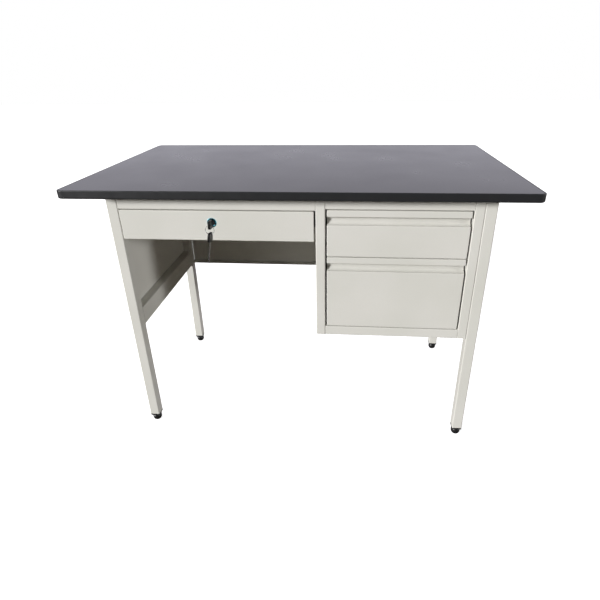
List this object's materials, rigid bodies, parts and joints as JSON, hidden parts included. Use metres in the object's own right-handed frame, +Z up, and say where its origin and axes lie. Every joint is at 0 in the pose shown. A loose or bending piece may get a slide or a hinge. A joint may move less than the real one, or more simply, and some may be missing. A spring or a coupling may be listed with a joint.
{
  "type": "writing desk with drawers",
  "caption": "Steel writing desk with a dark laminate top, square-tube legs, a wide lockable drawer and a hanging drawer pedestal.",
  "frame": {"origin": "on the floor, at the middle of the desk's bounding box", "axes": "+X to the sitter's right along the width, -Y towards the sitter (the drawers open that way), +Z up"},
  "size_m": [1.09, 0.636, 0.75],
  "materials": {
    "laminate_top": "dark grey high-pressure laminate on particle board, satin",
    "edge_moulding": "black soft PVC moulding, satin",
    "powder_coat": "light grey-beige powder coat, satin with a very fine texture",
    "foot_plastic": "black moulded plastic",
    "zinc_steel": "zinc plated",
    "lock_chrome": "bright chrome",
    "lock_face": "black",
    "nickel_steel": "nickel plated",
    "key_plastic": "black moulded key head with a nickel plated blade"
  },
  "bodies": {
    "desk": {"desktop": "laminate_top", "edge_band": "edge_moulding", "leg_front_left": "powder_coat", "leg_front_right": "powder_coat", "leg_rear_left": "powder_coat", "leg_rear_right": "powder_coat", "foot_front_left": "foot_plastic", "foot_front_right": "foot_plastic", "foot_rear_left": "foot_plastic", "foot_rear_right": "foot_plastic", "front_apron_rail": "powder_coat", "rear_top_rail": "powder_coat", "left_top_rail": "powder_coat", "right_top_rail": "powder_coat", "left_lower_rail": "powder_coat", "right_lower_rail": "powder_coat", "left_side_panel": "powder_coat", "right_side_panel": "powder_coat", "modesty_panel": "powder_coat", "pedestal_left_side": "powder_coat", "pedestal_right_side": "powder_coat", "pedestal_back": "powder_coat", "pedestal_bottom": "powder_coat", "pedestal_left_stile": "powder_coat", "pedestal_right_stile": "powder_coat", "pedestal_top_rail": "powder_coat", "pedestal_bottom_rail": "powder_coat", "wide_drawer_left_runner": "zinc_steel", "wide_drawer_right_runner": "zinc_steel", "upper_drawer_left_runner": "zinc_steel", "upper_drawer_right_runner": "zinc_steel", "lower_drawer_left_runner": "zinc_steel", "lower_drawer_right_runner": "zinc_steel"},
    "wide_drawer": {"wide_drawer_front": "powder_coat", "wide_drawer_left_side": "powder_coat", "wide_drawer_right_side": "powder_coat", "wide_drawer_bottom": "powder_coat", "wide_drawer_back": "powder_coat", "wide_drawer_left_slide": "zinc_steel", "wide_drawer_right_slide": "zinc_steel", "lock_housing": "lock_chrome"},
    "upper_drawer": {"upper_drawer_front": "powder_coat", "upper_drawer_left_side": "powder_coat", "upper_drawer_right_side": "powder_coat", "upper_drawer_bottom": "powder_coat", "upper_drawer_back": "powder_coat", "upper_drawer_left_slide": "zinc_steel", "upper_drawer_right_slide": "zinc_steel"},
    "lower_drawer": {"lower_drawer_front": "powder_coat", "lower_drawer_left_side": "powder_coat", "lower_drawer_right_side": "powder_coat", "lower_drawer_bottom": "powder_coat", "lower_drawer_back": "powder_coat", "lower_drawer_left_slide": "zinc_steel", "lower_drawer_right_slide": "zinc_steel"},
    "lock_barrel": {"lock_plug": "lock_face", "lock_cam": "nickel_steel", "lock_key": "key_plastic"},
    "key_ring": {"key_ring": "nickel_steel"},
    "spare_key": {"spare_key": "key_plastic"}
  },
  "joints": [
    {"name": "wide_drawer_slide", "type": "slide", "parent": "desk", "child": "wide_drawer", "axis": [0, -1, 0], "range_m": [0, 0.3]},
    {"name": "upper_drawer_slide", "type": "slide", "parent": "desk", "child": "upper_drawer", "axis": [0, -1, 0], "range_m": [0, 0.3]},
    {"name": "lower_drawer_slide", "type": "slide", "parent": "desk", "child": "lower_drawer", "axis": [0, -1, 0], "range_m": [0, 0.3]},
    {"name": "lock_turn", "type": "hinge", "parent": "wide_drawer", "child": "lock_barrel", "pos_m": [-0.209, -0.239, 0.652], "axis": [0, 1, 0], "range_deg": [0, 90]},
    {"name": "key_ring_swing", "type": "hinge", "parent": "lock_barrel", "child": "key_ring", "pos_m": [-0.209, -0.2631, 0.652], "axis": [-1, 0, 0], "range_deg": [-10, 70]},
    {"name": "spare_key_swing", "type": "hinge", "parent": "key_ring", "child": "spare_key", "pos_m": [-0.209, -0.2631, 0.63], "axis": [-1, 0, 0], "range_deg": [-8, 60]}
  ]
}
